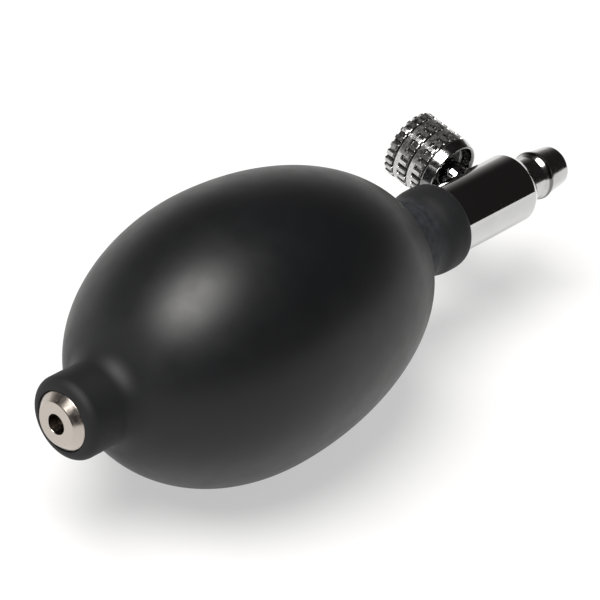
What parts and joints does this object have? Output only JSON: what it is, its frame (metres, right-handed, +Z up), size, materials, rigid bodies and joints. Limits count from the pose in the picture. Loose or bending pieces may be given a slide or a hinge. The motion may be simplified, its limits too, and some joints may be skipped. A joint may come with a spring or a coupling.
{
  "type": "rubber hand bulb with release valve",
  "caption": "Egg-shaped black rubber squeeze bulb with a nickel inlet valve at one end and a chrome release valve with knurled thumbscrew and ringed hose nipple at the other.",
  "frame": {"origin": "on the surface below the bulb's belly, at mid-length between the inlet valve's face and the hose nipple's tip, and mid-width", "axes": "+X along the bulb from the inlet valve to the hose nipple, +Y the way the thumbscrew points, +Z up"},
  "size_m": [0.1272, 0.0482, 0.0527],
  "materials": {
    "black_rubber": "satin black moulded rubber",
    "chrome": "polished chrome plate",
    "nickel": "satin turned nickel plate",
    "brass": "plain turned brass",
    "steel": "bright steel",
    "seal_rubber": "matte black seal rubber",
    "nylon": "natural nylon",
    "fibre": "red-brown vulcanised fibre"
  },
  "bodies": {
    "housing": {"bulb": "black_rubber", "inlet_plug": "nickel", "inlet_cage": "brass", "inlet_snap_ring": "steel", "neck_tail": "nickel", "dust_screen": "steel", "screen_ring": "brass", "body_washer": "fibre", "check_spider": "brass", "valve_body": "chrome", "nipple_seal": "fibre", "hose_nipple": "chrome", "bleed_seat": "nylon", "bleed_bush": "chrome", "friction_ring": "seal_rubber"},
    "ball": {"inlet_ball": "steel"},
    "disc": {"check_disc": "seal_rubber"},
    "pad": {"bleed_pad": "seal_rubber"},
    "thumbscrew": {"spindle": "steel", "knob": "chrome"}
  },
  "joints": [
    {"name": "inlet_ball_lift", "type": "slide", "parent": "housing", "child": "ball", "axis": [1, 0, 0], "range_m": [0, 0.0009]},
    {"name": "check_disc_lift", "type": "slide", "parent": "housing", "child": "disc", "axis": [1, 0, 0], "range_m": [0, 0.0007]},
    {"name": "thumbscrew_travel", "type": "slide", "parent": "housing", "child": "pad", "axis": [0, 1, 0], "range_m": [0, 0.0015]},
    {"name": "thumbscrew_turn", "type": "hinge", "parent": "pad", "child": "thumbscrew", "pos_m": [0.04405, 0, 0.02636], "axis": [0, 1, 0], "range_deg": [0, 1080]}
  ],
  "couplings": [
    {"joint": "thumbscrew_travel", "follows": "thumbscrew_turn", "m_per_rad": 0.000079577}
  ]
}
